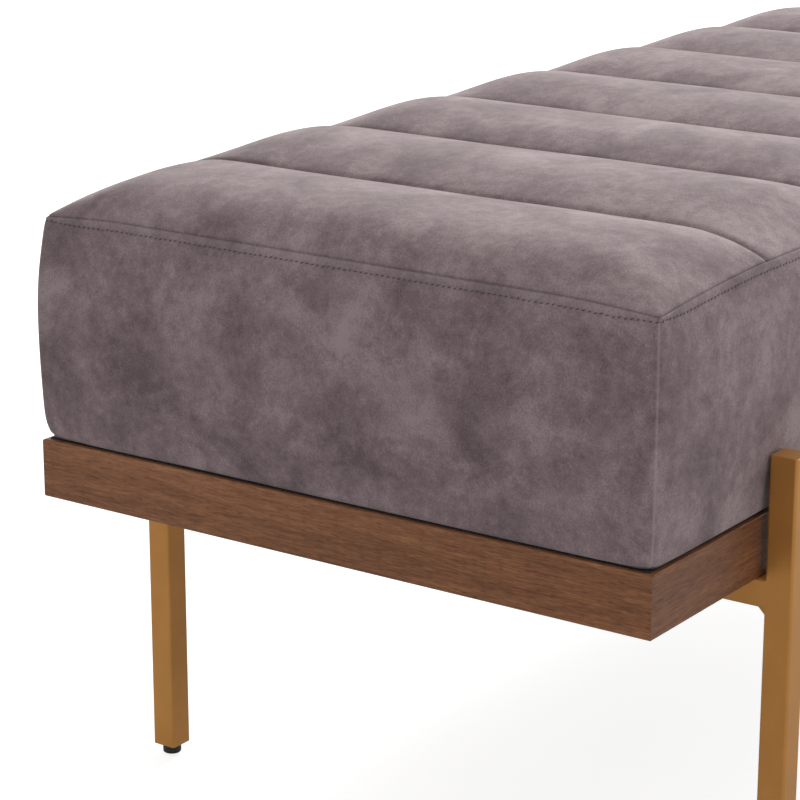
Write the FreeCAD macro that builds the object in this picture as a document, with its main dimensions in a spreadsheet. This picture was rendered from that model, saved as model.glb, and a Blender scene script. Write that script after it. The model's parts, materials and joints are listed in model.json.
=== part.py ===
import FreeCAD, Part
import math
import os
import Sketcher
from FreeCAD import Placement, Rotation, Vector
from types import SimpleNamespace

# A channelled upholstered bench on two square-tube leg frames, in millimetres.
# Left is -X, front is -Y, up is +Z. The origin is on the floor under the middle of the bench.

DRIVING_SIZES = {
    # Wooden base
    "base_length": 1180,
    "base_width": 490,
    "base_height": 42,
    "base_clearance": 250,
    "rail_thickness": 22,
    "rail_edge_radius": 1.5,
    "corner_block_leg": 45,
    "corner_block_height": 30,
    "batten_width": 60,
    "dowel_diameter": 8,
    "dowel_spacing": 36,
    "dowel_in_rail": 12,
    "dowel_in_batten": 26,
    "dowel_slack": 0.1,
    "dowel_end_gap": 0.8,
    # Leg frames
    "tube_size": 20,
    "tube_wall": 1.5,
    "tube_corner_radius": 2,
    "leg_inset": 148,
    "post_rise": 84,
    "post_clearance": 0.3,
    "cap_thickness": 2,
    "cap_edge_radius": 1,
    "weld_leg": 5,
    "bolt_diameter": 6,
    "bolt_spacing": 160,
    "bolt_head_diameter": 11,
    "bolt_head_height": 3.5,
    "bolt_reach": 22,
    "bolt_hole_slack": 0.25,
    "bolt_access_slack": 1,
    "nut_diameter": 10,
    "nut_length": 15,
    "nut_slack": 0.1,
    "bore_run_out": 3,
    # Levelling feet
    "foot_height": 8,
    "foot_pad_diameter": 14,
    "foot_pad_edge_radius": 1.5,
    "foot_pad_floor": 1.8,
    "stud_diameter": 6,
    "stud_reach": 24,
    "stud_tip_chamfer": 0.8,
    "flange_diameter": 8,
    "flange_thickness": 1.5,
    "collar_diameter": 9.2,
    "collar_height": 2,
    "running_gap": 0.2,
    "thread_slack": 0.05,
    "insert_plate": 3,
    "insert_boss_diameter": 12,
    "insert_boss_height": 8,
    "insert_slack": 0.25,
    # Seat
    "seat_inset": 1,
    "boxing_height": 162,
    "boxing_bulge": 5,
    "cover_thickness": 1.5,
    "dust_cover_thickness": 0.8,
    "dust_cover_inset": 3,
    "deck_thickness": 12,
    "deck_corner_radius": 14,
    "deck_slack": 0.3,
    "foam_slack": 0.3,
    "foam_relief": 1,
    "channel_count": 8,
    "end_channel_width": 140,
    "seam_rise": 19,
    "channel_crown": 9,
    "edge_roll": 48,
    "staple_setback": 10,
    "staple_spacing": 75,
    "staple_crown": 10,
    "staple_leg": 9,
    "staple_wire": 0.7,
    "seat_screw_spacing": 240,
    "seat_screw_offset": 20,
    "seat_screw_diameter": 4.5,
    "seat_screw_head_diameter": 9,
    "seat_screw_head_height": 3,
    "seat_screw_in_deck": 8,
    "screw_slack": 0.1,
}
QUARTER_TURN = 90
SIDES = ("front", "right", "rear", "left")
LEFT_RIGHT = {"left": -1, "right": 1}
FRONT_REAR = {"front": -1, "rear": 1}
UP = Vector(0, 0, 1)
FACING_X = Rotation(Vector(0, 1, 0), Vector(0, 0, 1), Vector(1, 0, 0), "ZXY")
FACING_FRONT = Rotation(Vector(1, 0, 0), QUARTER_TURN)
CYLINDER_TO_REAR = Rotation(Vector(1, 0, 0), -QUARTER_TURN)


class Size:
    """A length that carries its number and the sheet expression that gives it."""

    def __init__(self, number, text):
        self.number = float(number)
        self.text = text

    @staticmethod
    def of(value):
        if isinstance(value, Size):
            return value
        return Size(value, str(float(value)))

    def __add__(self, other):
        other = Size.of(other)
        return Size(self.number + other.number, f"({self.text} + {other.text})")

    def __sub__(self, other):
        other = Size.of(other)
        return Size(self.number - other.number, f"({self.text} - {other.text})")

    def __mul__(self, other):
        other = Size.of(other)
        return Size(self.number * other.number, f"({self.text} * {other.text})")

    def __truediv__(self, other):
        other = Size.of(other)
        return Size(self.number / other.number, f"({self.text} / {other.text})")

    def __neg__(self):
        return Size(-self.number, f"(-{self.text})")

    __radd__ = __add__
    __rmul__ = __mul__


document = FreeCAD.newDocument("channelled_bench")
sheet = document.addObject("Spreadsheet::Sheet", "Sizes")
for row, (alias, value) in enumerate(DRIVING_SIZES.items(), start=1):
    sheet.set(f"A{row}", alias)
    sheet.set(f"B{row}", str(value))
    sheet.setAlias(f"B{row}", alias)
document.recompute()
size = SimpleNamespace(**{alias: Size(value, f"Sizes.{alias}") for alias, value in DRIVING_SIZES.items()})
nodes = {}

# Places that several pieces share
half_length = size.base_length / 2
half_width = size.base_width / 2
base_bottom = size.base_clearance
base_top = base_bottom + size.base_height
rail_inner_length = half_length - size.rail_thickness
rail_inner_width = half_width - size.rail_thickness
leg_place = half_length - size.leg_inset
post_gap = size.boxing_bulge - size.seat_inset + size.post_clearance
post_inner_face = half_width + post_gap
post_place = post_inner_face + size.tube_size / 2
post_top = base_bottom + size.post_rise
crossbar_bottom = base_bottom - size.tube_size
seat_half_length = half_length - size.seat_inset
seat_half_width = half_width - size.seat_inset
seat_bottom = base_top + size.dust_cover_thickness
deck_bottom = seat_bottom + size.cover_thickness
deck_top = deck_bottom + size.deck_thickness
boxing_top = base_top + size.boxing_height
staple_line = size.rail_thickness + size.staple_setback
boxing_return = staple_line + size.staple_setback - size.seat_inset


# Helpers
def bind(thing, path, length):
    thing.setExpression(path, Size.of(length).text)


def place(thing, x=0, y=0, z=0, turn=Rotation()):
    corner = [Size.of(length) for length in (x, y, z)]
    thing.Placement = Placement(Vector(*[length.number for length in corner]), turn)
    for axis, length in zip("xyz", corner):
        bind(thing, f"Placement.Base.{axis}", length)
    return thing


def node(thing, label):
    """Names a finished sub-part, which is written to a file of that name."""
    thing.Label = label
    nodes[label] = thing
    return thing


def box(name, length, width, height, x, y, z):
    """A block centred on x and y, standing on z."""
    block = document.addObject("Part::Box", name)
    bind(block, "Length", length)
    bind(block, "Width", width)
    bind(block, "Height", height)
    return place(block, Size.of(x) - length / 2, Size.of(y) - width / 2, z)


def cylinder(name, diameter, height, x, y, z, turn=Rotation()):
    rod = document.addObject("Part::Cylinder", name)
    bind(rod, "Radius", diameter / 2)
    bind(rod, "Height", height)
    return place(rod, x, y, z, turn)


def cut(name, base, tool):
    result = document.addObject("Part::Cut", name)
    result.Base = base
    result.Tool = tool
    return result


def fuse(name, base, tool):
    result = document.addObject("Part::Fuse", name)
    result.Base = base
    result.Tool = tool
    return result


def common(name, base, tool):
    result = document.addObject("Part::Common", name)
    result.Base = base
    result.Tool = tool
    return result


def group(name, pieces):
    result = document.addObject("Part::Compound", name)
    result.Links = pieces
    return result


def free_sketch(name, turn=Rotation()):
    sketch = document.addObject("Sketcher::SketchObject", name)
    sketch.Placement = Placement(Vector(), turn)
    return sketch


def body_sketch(body, name, plane):
    sketch = body.newObject("Sketcher::SketchObject", name)
    support = next(feature for feature in body.Origin.OriginFeatures if feature.Role == plane)
    sketch.AttachmentSupport = [(support, "")]
    sketch.MapMode = "FlatFace"
    return sketch


def arc_between(start, end, radius):
    """The short arc from start to end that swells to the right of the way there, or to the left if radius is negative."""
    chord = end - start
    right = Vector(chord.y, -chord.x, 0).normalize()
    swell = abs(radius) - math.sqrt(radius ** 2 - (chord.Length / 2) ** 2)
    middle = (start + end) / 2 + right * math.copysign(swell, radius)
    return Part.Arc(start, middle, end)


def arc_radius(run, rise):
    """Radius of an arc that is level at its top and falls by rise over run."""
    return (run * run + rise * rise) / (2 * rise)


def draw_loop(sketch, corners, radii=None):
    """A closed loop through the corners, with an arc after each corner that radii names."""
    radii = radii or {}
    first = sketch.GeometryCount
    corners = [(Size.of(x), Size.of(y)) for x, y in corners]
    points = [Vector(x.number, y.number, 0) for x, y in corners]
    ends = []
    for index, start in enumerate(points):
        end = points[(index + 1) % len(points)]
        if index in radii:
            edge = sketch.addGeometry(arc_between(start, end, radii[index].number))
            radius = radii[index] if radii[index].number > 0 else -radii[index]
            name = f"radius_{first + index}"
            sketch.addConstraint(Sketcher.Constraint("Radius", edge, radius.number))
            sketch.renameConstraint(sketch.ConstraintCount - 1, name)
            bind(sketch, f"Constraints.{name}", radius)
        else:
            edge = sketch.addGeometry(Part.LineSegment(start, end))
        runs_forward = sketch.getPoint(edge, 1).distanceToPoint(start) < sketch.getPoint(edge, 2).distanceToPoint(start)
        ends.append((edge, 1, 2) if runs_forward else (edge, 2, 1))
    for index, (x, y) in enumerate(corners):
        edge, start, _ = ends[index]
        before, _, last = ends[index - 1]
        sketch.addConstraint(Sketcher.Constraint("Coincident", before, last, edge, start))
        for kind, length in (("DistanceX", x), ("DistanceY", y)):
            name = f"{kind}_{first + index}"
            sketch.addConstraint(Sketcher.Constraint(kind, -1, 1, edge, start, length.number))
            sketch.renameConstraint(sketch.ConstraintCount - 1, name)
            bind(sketch, f"Constraints.{name}", length)
    return sketch


def draw_rounded_oblong(sketch, half_x, half_y, radius):
    flat_x = half_x - radius
    flat_y = half_y - radius
    corners = [(half_x, -flat_y), (half_x, flat_y), (flat_x, half_y), (-flat_x, half_y),
               (-half_x, flat_y), (-half_x, -flat_y), (-flat_x, -half_y), (flat_x, -half_y)]
    return draw_loop(sketch, corners, {1: radius, 3: radius, 5: radius, 7: radius})


def extrude(name, sketch, length, both_ways=True):
    solid = document.addObject("Part::Extrusion", name)
    solid.Base = sketch
    solid.DirMode = "Normal"
    solid.Symmetric = both_ways
    solid.Solid = True
    bind(solid, "LengthFwd", length)
    return solid


def pad(body, sketch, length):
    feature = body.newObject("PartDesign::Pad", f"{body.Name}_pad")
    feature.Profile = sketch
    bind(feature, "Length", length)
    sketch.Visibility = False
    return feature


def fillet(body, base, radius, chosen):
    """Rounds the edges of the base feature for which chosen is true."""
    document.recompute()
    names = [f"Edge{number}" for number, edge in enumerate(base.Shape.Edges, start=1) if chosen(edge)]
    feature = body.newObject("PartDesign::Fillet", f"{body.Name}_fillet")
    feature.Base = (base, names)
    bind(feature, "Radius", radius)
    return feature


def level_at(edge, axis, number):
    """True where both ends of the edge have this coordinate."""
    return all(abs(getattr(vertex.Point, axis) - number) < 1e-4 for vertex in edge.Vertexes)


# Wooden base
def dowels_and_bores():
    """The dowels between battens and long rails, and the bores that they sit in."""
    dowels = []
    bores = []
    length = size.dowel_in_rail + size.dowel_in_batten
    for batten, middle in batten_places().items():
        for side, sign in FRONT_REAR.items():
            for number, shift in enumerate((-0.5, 0.5), start=1):
                x = middle + size.dowel_spacing * shift
                inner = rail_inner_width - size.dowel_in_batten
                start = inner if sign > 0 else -inner - length
                name = f"{batten}_{side}_dowel_{number}"
                z = base_bottom + size.base_height / 2
                dowels.append(cylinder(name, size.dowel_diameter, length, x, start, z, CYLINDER_TO_REAR))
                bores.append(cylinder(f"{name}_bore", size.dowel_diameter + 2 * size.dowel_slack,
                                      length + 2 * size.dowel_end_gap, x, start - size.dowel_end_gap, z,
                                      CYLINDER_TO_REAR))
    node(group("dowels", dowels), "batten_dowels")
    return group("dowel_bores", bores)


def batten_places():
    return {"left_batten": -leg_place, "centre_batten": Size.of(0), "right_batten": leg_place}


def rails(dowel_bores):
    for turns, side in enumerate(SIDES):
        is_long = turns % 2 == 0
        along, across = (half_length, half_width) if is_long else (half_width, half_length)
        inner_along, inner_across = along - size.rail_thickness, across - size.rail_thickness
        body = document.addObject("PartDesign::Body", f"{side}_rail_blank")
        sketch = body_sketch(body, f"{side}_rail_plan", "XY_Plane")
        draw_loop(sketch, [(-along, -across), (along, -across),
                           (inner_along, -inner_across), (-inner_along, -inner_across)])
        block = pad(body, sketch, size.base_height)
        fillet(body, block, size.rail_edge_radius,
               lambda edge: level_at(edge, "y", -across.number) and edge.Length > size.base_height.number * 2)
        place(body, z=base_bottom, turn=Rotation(UP, QUARTER_TURN * turns))
        node(cut(f"{side}_rail", body, dowel_bores) if is_long else body, f"{side}_rail")


def corner_blocks():
    leg = size.corner_block_leg
    for side, x_sign in LEFT_RIGHT.items():
        for end, y_sign in FRONT_REAR.items():
            x = rail_inner_length * x_sign
            y = rail_inner_width * y_sign
            name = f"{end}_{side}_corner_block"
            body = document.addObject("PartDesign::Body", name)
            sketch = body_sketch(body, f"{name}_plan", "XY_Plane")
            draw_loop(sketch, [(x, y), (x - leg * x_sign, y), (x, y - leg * y_sign)])
            pad(body, sketch, size.corner_block_height)
            place(body, z=base_top - size.corner_block_height)
            node(body, name)


def seat_screw_places():
    half_spacing = size.seat_screw_spacing / 2
    offsets = {"left_batten": size.seat_screw_offset, "centre_batten": Size.of(0),
               "right_batten": -size.seat_screw_offset}
    return [(middle + offsets[name], half_spacing * sign)
            for name, middle in batten_places().items() for sign in FRONT_REAR.values()]


def seat_screws_and_bores():
    """Screws from under the battens into the deck, and their bores through everything between."""
    screws = []
    bores = []
    length = deck_bottom + size.seat_screw_in_deck - base_bottom
    for number, (x, y) in enumerate(seat_screw_places(), start=1):
        head = cylinder(f"seat_screw_head_{number}", size.seat_screw_head_diameter, size.seat_screw_head_height,
                        x, y, base_bottom - size.seat_screw_head_height)
        shank = cylinder(f"seat_screw_shank_{number}", size.seat_screw_diameter, length, x, y, base_bottom)
        screws.append(fuse(f"seat_screw_{number}", head, shank))
        bores.append(cylinder(f"seat_screw_bore_{number}", size.seat_screw_diameter + 2 * size.screw_slack,
                              length + size.screw_slack, x, y, base_bottom))
    node(group("screws", screws), "seat_screws")
    return group("seat_screw_bores", bores)


def bolt_places():
    return [(leg_place * x_sign, size.bolt_spacing * step) for x_sign in LEFT_RIGHT.values() for step in (-1, 0, 1)]


def nuts_and_bores():
    """Threaded inserts in the outer battens, and the bores that they and the bolts' tips sit in."""
    nuts = []
    bores = []
    for number, (x, y) in enumerate(bolt_places(), start=1):
        sleeve = cylinder(f"nut_sleeve_{number}", size.nut_diameter, size.nut_length, x, y, base_bottom)
        thread = cylinder(f"nut_thread_{number}", size.bolt_diameter, size.nut_length, x, y, base_bottom)
        nuts.append(cut(f"nut_{number}", sleeve, thread))
        bores.append(cylinder(f"nut_bore_{number}", size.nut_diameter + 2 * size.nut_slack,
                              size.bolt_reach + size.bore_run_out, x, y, base_bottom))
    node(group("nuts", nuts), "insert_nuts")
    return group("nut_bores", bores)


def battens(bores):
    for name, middle in batten_places().items():
        blank = box(f"{name}_blank", size.batten_width, rail_inner_width * 2, size.base_height, middle, 0, base_bottom)
        node(cut(name, blank, bores), name)


# Leg frames
def crossbars():
    span = post_inner_face * 2
    access = size.bolt_head_diameter + 2 * size.bolt_access_slack
    passage = size.bolt_diameter + 2 * size.bolt_hole_slack
    for side, sign in LEFT_RIGHT.items():
        body = document.addObject("PartDesign::Body", f"{side}_crossbar_tube")
        sketch = body_sketch(body, f"{side}_crossbar_section", "XZ_Plane")
        draw_tube_section(sketch)
        pad(body, sketch, span)
        place(body, leg_place * sign, post_inner_face, base_bottom - size.tube_size / 2)
        bores = []
        for step in (-1, 0, 1):
            spot = (leg_place * sign, size.bolt_spacing * step)
            number = step + 2
            bores.append(cylinder(f"{side}_access_{number}", access, size.tube_size / 2, *spot, crossbar_bottom))
            bores.append(cylinder(f"{side}_passage_{number}", passage, size.tube_size, *spot, crossbar_bottom))
        cutter = document.addObject("Part::MultiFuse", f"{side}_crossbar_bores")
        cutter.Shapes = bores
        node(cut(f"{side}_crossbar", body, cutter), f"{side}_crossbar")


def draw_tube_section(sketch):
    half = size.tube_size / 2
    inner = half - size.tube_wall
    draw_rounded_oblong(sketch, half, half, size.tube_corner_radius)
    draw_rounded_oblong(sketch, inner, inner, size.tube_corner_radius - size.tube_wall)


def crossbar_bolts():
    bolts = []
    seat = base_bottom - size.tube_wall
    for number, (x, y) in enumerate(bolt_places(), start=1):
        head = cylinder(f"bolt_head_{number}", size.bolt_head_diameter, size.bolt_head_height,
                        x, y, seat - size.bolt_head_height)
        shank = cylinder(f"bolt_shank_{number}", size.bolt_diameter - 2 * size.thread_slack,
                         size.tube_wall + size.bolt_reach, x, y, seat)
        bolts.append(fuse(f"bolt_{number}", head, shank))
    node(group("bolts", bolts), "crossbar_bolts")


def weld_beads():
    leg = size.weld_leg
    for side, sign in LEFT_RIGHT.items():
        beads = []
        for end, y_sign in FRONT_REAR.items():
            sketch = free_sketch(f"{end}_{side}_bead_section", FACING_X)
            y = post_inner_face * y_sign
            draw_loop(sketch, [(y, crossbar_bottom), (y - leg * y_sign, crossbar_bottom), (y, crossbar_bottom - leg)])
            bead = extrude(f"{end}_{side}_bead", sketch, size.tube_size - 2 * size.tube_corner_radius)
            beads.append(place(bead, leg_place * sign))
        node(group(f"{side}_beads", beads), f"{side}_weld_beads")


def corner_places():
    """Name and centre of each of the four posts."""
    return [(f"{end}_{side}", leg_place * x_sign, post_place * y_sign)
            for end, y_sign in FRONT_REAR.items() for side, x_sign in LEFT_RIGHT.items()]


def post(corner, x, y):
    body = document.addObject("PartDesign::Body", f"{corner}_post")
    sketch = body_sketch(body, f"{corner}_post_section", "XY_Plane")
    draw_tube_section(sketch)
    pad(body, sketch, post_top - size.cap_thickness - size.foot_height)
    node(place(body, x, y, size.foot_height), f"{corner}_post")


def post_cap(corner, x, y):
    body = document.addObject("PartDesign::Body", f"{corner}_cap")
    sketch = body_sketch(body, f"{corner}_cap_outline", "XY_Plane")
    draw_rounded_oblong(sketch, size.tube_size / 2, size.tube_size / 2, size.tube_corner_radius)
    plate = pad(body, sketch, size.cap_thickness)
    fillet(body, plate, size.cap_edge_radius, lambda edge: level_at(edge, "z", size.cap_thickness.number))
    node(place(body, x, y, post_top - size.cap_thickness), f"{corner}_post_cap")


# Levelling feet
foot_pad_height = size.foot_height - size.collar_height - 2 * size.running_gap
collar_bottom = foot_pad_height + size.running_gap
flange_top = size.foot_pad_floor + size.flange_thickness


def foot_insert(corner, x, y):
    width = size.tube_size - 2 * size.tube_wall - 2 * size.insert_slack
    height = size.insert_plate + size.insert_boss_height
    plate = box(f"{corner}_insert_plate", width, width, size.insert_plate, x, y, size.foot_height)
    boss = cylinder(f"{corner}_insert_boss", size.insert_boss_diameter, height, x, y, size.foot_height)
    thread = cylinder(f"{corner}_insert_thread", size.stud_diameter, height, x, y, size.foot_height)
    plug = fuse(f"{corner}_insert_plug", plate, boss)
    node(cut(f"{corner}_insert", plug, thread), f"{corner}_foot_insert")


def revolve(name, corners, radii=None):
    body = document.addObject("PartDesign::Body", name)
    sketch = body_sketch(body, f"{name}_profile", "XZ_Plane")
    draw_loop(sketch, corners, radii)
    feature = body.newObject("PartDesign::Revolution", f"{name}_turned")
    feature.Profile = sketch
    feature.ReferenceAxis = (sketch, ["V_Axis"])
    feature.Angle = 360
    sketch.Visibility = False
    return body


def foot_stud(corner, x, y):
    """Flange held in the pad, six-sided collar under the post and threaded shank inside it."""
    shank = size.stud_diameter / 2 - size.thread_slack
    flange = size.flange_diameter / 2 - size.running_gap
    tip = size.foot_height + size.stud_reach
    chamfer = size.stud_tip_chamfer
    screw = revolve(f"{corner}_screw", [(0, size.foot_pad_floor), (flange, size.foot_pad_floor), (flange, flange_top),
                                        (shank, flange_top), (shank, tip - chamfer), (shank - chamfer, tip), (0, tip)])
    place(screw, x, y)
    collar = document.addObject("Part::Prism", f"{corner}_collar")
    collar.Polygon = 6
    bind(collar, "Circumradius", size.collar_diameter / 2)
    bind(collar, "Height", size.collar_height)
    place(collar, x, y, collar_bottom)
    node(fuse(f"{corner}_stud", screw, collar), f"{corner}_foot_stud")


def foot_pad(corner, x, y):
    """Round glide with a pocket that holds the stud's flange under a lip."""
    outer = size.foot_pad_diameter / 2
    edge = size.foot_pad_edge_radius
    pocket = size.flange_diameter / 2
    lip = size.stud_diameter / 2 + size.running_gap
    pocket_top = flange_top + size.running_gap
    glide = revolve(f"{corner}_glide",
                    [(0, 0), (outer - edge, 0), (outer, edge), (outer, foot_pad_height), (lip, foot_pad_height),
                     (lip, pocket_top), (pocket, pocket_top), (pocket, size.foot_pad_floor), (0, size.foot_pad_floor)],
                    {1: edge})
    node(place(glide, x, y), f"{corner}_foot_pad")


# Seat
def boxing_panels():
    """Side panels, swelling at half height, turned under the deck and mitred at the corners."""
    wall = size.cover_thickness
    outer_radius = arc_radius((boxing_top - seat_bottom) / 2, size.boxing_bulge)
    inner_radius = arc_radius((boxing_top - deck_bottom) / 2, size.boxing_bulge)
    reach = size.boxing_bulge * 2
    for turns, side in enumerate(SIDES):
        is_long = turns % 2 == 0
        along, across = (seat_half_length, seat_half_width) if is_long else (seat_half_width, seat_half_length)
        section = free_sketch(f"{side}_boxing_section", FACING_X)
        draw_loop(section,
                  [(-across, seat_bottom), (boxing_return - across, seat_bottom), (boxing_return - across, deck_bottom),
                   (wall - across, deck_bottom), (wall - across, boxing_top), (-across, boxing_top)],
                  {3: -inner_radius, 5: outer_radius})
        panel = extrude(f"{side}_boxing_run", section, (along + reach) * 2)
        plan = free_sketch(f"{side}_boxing_plan")
        draw_loop(plan, [(-along - reach, -across - reach), (along + reach, -across - reach),
                         (along - boxing_return, boxing_return - across),
                         (boxing_return - along, boxing_return - across)])
        mitre = extrude(f"{side}_boxing_mitre", plan, boxing_top, both_ways=False)
        shape = common(f"{side}_boxing", panel, mitre)
        node(place(shape, turn=Rotation(UP, QUARTER_TURN * turns)), f"{side}_boxing")


def foam_core():
    """Foam block with all four sides swelling, just inside the boxing."""
    swell = size.boxing_bulge - size.foam_relief
    radius = arc_radius((boxing_top - deck_top) / 2, swell)
    slabs = []
    for name, half, other, turn in (("across", seat_half_width, seat_half_length, FACING_X),
                                    ("along", seat_half_length, seat_half_width, FACING_FRONT)):
        edge = half - size.cover_thickness - size.foam_slack
        section = free_sketch(f"foam_{name}", turn)
        draw_loop(section, [(-edge, deck_top), (edge, deck_top), (edge, boxing_top), (-edge, boxing_top)],
                  {1: radius, 3: radius})
        slabs.append(extrude(f"foam_{name}_slab", section, (other + swell) * 2))
    node(common("foam", *slabs), "foam_core")


def seat_deck(screw_bores):
    """Plywood board with rounded corners, over which the boxing turns under without a sharp point."""
    edge = size.cover_thickness + size.deck_slack
    outline = free_sketch("deck_outline")
    draw_rounded_oblong(outline, seat_half_length - edge, seat_half_width - edge, size.deck_corner_radius)
    board = extrude("deck_board", outline, size.deck_thickness, both_ways=False)
    place(board, z=deck_bottom)
    node(cut("deck", board, screw_bores), "seat_deck")


def dust_cover(screw_bores):
    edge = size.dust_cover_inset
    cloth = box("dust_cloth", (seat_half_length - edge) * 2, (seat_half_width - edge) * 2, size.dust_cover_thickness,
                0, 0, base_top)
    node(cut("dust_cover_cloth", cloth, screw_bores), "dust_cover")


def channel_section(index, count, inset):
    """Corners and arcs of one channel across the bench, drawn inwards by inset."""
    pitch = (seat_half_length - size.end_channel_width) * 2 / (count - 2)
    first_seam = size.end_channel_width - seat_half_length
    left = first_seam + pitch * (index - 1) + inset
    right = first_seam + pitch * index - inset
    seam = boxing_top + size.seam_rise - inset
    crest = seam + size.channel_crown
    edge = seat_half_length - inset
    crest_place = edge - size.edge_roll
    roll = arc_radius(size.edge_roll, crest - boxing_top)
    if index == 0:
        crown = arc_radius(right + crest_place, size.channel_crown)
        corners = [(-edge, boxing_top), (right, boxing_top), (right, seam), (-crest_place, crest)]
        return corners, {2: crown, 3: roll}
    if index == count - 1:
        crown = arc_radius(crest_place - left, size.channel_crown)
        corners = [(left, boxing_top), (edge, boxing_top), (crest_place, crest), (left, seam)]
        return corners, {1: roll, 2: crown}
    crown = arc_radius((right - left) / 2, size.channel_crown)
    return [(left, boxing_top), (right, boxing_top), (right, seam), (left, seam)], {2: crown}


def edge_roll_block(name, inset):
    """The whole top's height from front to rear, rolling down to the boxing at both long sides."""
    edge = seat_half_width - inset
    crest = boxing_top + size.seam_rise + size.channel_crown - inset
    level = edge - size.edge_roll
    roll = arc_radius(size.edge_roll, crest - boxing_top)
    sketch = free_sketch(f"{name}_section", FACING_X)
    draw_loop(sketch, [(-edge, boxing_top), (edge, boxing_top), (level, crest), (-level, crest)], {1: roll, 3: roll})
    return extrude(name, sketch, size.base_length)


def channels():
    """Wadding of each channel, and over it the strip of cover, turned down between the channels at its seams."""
    count = int(size.channel_count.number)
    fabric = size.cover_thickness
    blocks = {"pad": (fabric, edge_roll_block("pad_roll", fabric)),
              "strip": (Size.of(0), edge_roll_block("strip_roll", Size.of(0)))}
    strips = []
    for index in range(count):
        forms = {}
        for kind, (inset, roll) in blocks.items():
            name = f"channel_{kind}_{index + 1}"
            sketch = free_sketch(f"{name}_section", FACING_FRONT)
            draw_loop(sketch, *channel_section(index, count, inset))
            run = extrude(f"{name}_run", sketch, size.base_width)
            forms[kind] = common(name, run, roll)
        node(forms["pad"], f"channel_pad_{index + 1}")
        strips.append(cut(f"cover_strip_{index + 1}", forms["strip"], forms["pad"]))
    node(group("cover_strips", strips), "top_cover")


def evenly_spaced(start, end):
    """Places between start and end, about a staple spacing apart, with half a step left at both ends."""
    steps = max(1, round((end - start).number / size.staple_spacing.number))
    return [start + (end - start) * ((step + 0.5) / steps) for step in range(steps)]


def staples():
    """Wire staples through dust cover and boxing into the deck, in the bays between blocks and battens."""
    crown = size.staple_crown / 2
    wire = size.staple_wire
    top = size.staple_leg
    section = free_sketch("staple_section", FACING_FRONT)
    draw_loop(section, [(-crown, -wire), (crown, -wire), (crown, top), (crown - wire, top), (crown - wire, 0),
                        (wire - crown, 0), (wire - crown, top), (-crown, top)])
    staple = extrude("staple", section, wire)
    block_end = rail_inner_length - size.corner_block_leg
    half_batten = size.batten_width / 2
    bays = [(-block_end, -leg_place - half_batten), (half_batten - leg_place, -half_batten),
            (half_batten, leg_place - half_batten), (leg_place + half_batten, block_end)]
    copies = []
    for sign in FRONT_REAR.values():
        y = (half_width - staple_line) * sign
        for x in [spot for bay in bays for spot in evenly_spaced(*bay)]:
            copies.append(place(group(f"staple_{len(copies) + 1}", [staple]), x, y, base_top))
    block_side = rail_inner_width - size.corner_block_leg
    for sign in LEFT_RIGHT.values():
        x = (half_length - staple_line) * sign
        for y in evenly_spaced(-block_side, block_side):
            copies.append(place(group(f"staple_{len(copies) + 1}", [staple]), x, y, base_top,
                                Rotation(UP, QUARTER_TURN)))
    node(group("all_staples", copies), "staples")


def build():
    dowel_bores = dowels_and_bores()
    screw_bores = seat_screws_and_bores()
    nut_bores = nuts_and_bores()
    rails(dowel_bores)
    corner_blocks()
    battens(group("batten_bores", [dowel_bores, screw_bores, nut_bores]))
    crossbars()
    crossbar_bolts()
    weld_beads()
    for corner, x, y in corner_places():
        for piece in (post, post_cap, foot_insert, foot_stud, foot_pad):
            piece(corner, x, y)
    seat_deck(screw_bores)
    dust_cover(screw_bores)
    boxing_panels()
    foam_core()
    channels()
    staples()
    document.recompute()


def check():
    for thing in document.Objects:
        if "Invalid" in thing.State or "Error" in thing.State:
            raise RuntimeError(f"{thing.Name} did not build: {thing.State}")
    for label, thing in nodes.items():
        if thing.Label != label:
            raise RuntimeError(f"{label} is taken by another object")
        if thing.Shape.isNull() or not thing.Shape.isValid() or not thing.Shape.Solids:
            raise RuntimeError(f"{label} has no valid solid")


def export():
    os.makedirs("parts", exist_ok=True)
    whole = FreeCAD.BoundBox()
    for label, thing in nodes.items():
        thing.Shape.exportStep(f"parts/{label}.step")
        whole.add(thing.Shape.BoundBox)
        print(f"{label}: {len(thing.Shape.Solids)} solids, {thing.Shape.Volume:.0f} mm3")
    print(f"{len(nodes)} nodes, {whole.XLength:.1f} x {whole.YLength:.1f} x {whole.ZLength:.1f} mm")


build()
check()
export()
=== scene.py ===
# %% [markdown]
# # A channelled bench in suede, walnut and brass
# The bench is a boxed cushion on a mitred walnut plinth, carried by two square-tube frames. Wood, tubes
# and fittings come from the CAD frame at their real size and only get a finish here. The cushion is what
# CAD can't show: padded cloth, swollen between its seams. It is built in this file as a mesh, blown up a
# little as cloth, and then sewn.

# %% Load the frame
import json
import math

import bmesh
import bpy
import numpy as np
from mathutils import Matrix, Vector, noise
from mathutils.bvhtree import BVHTree


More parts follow.
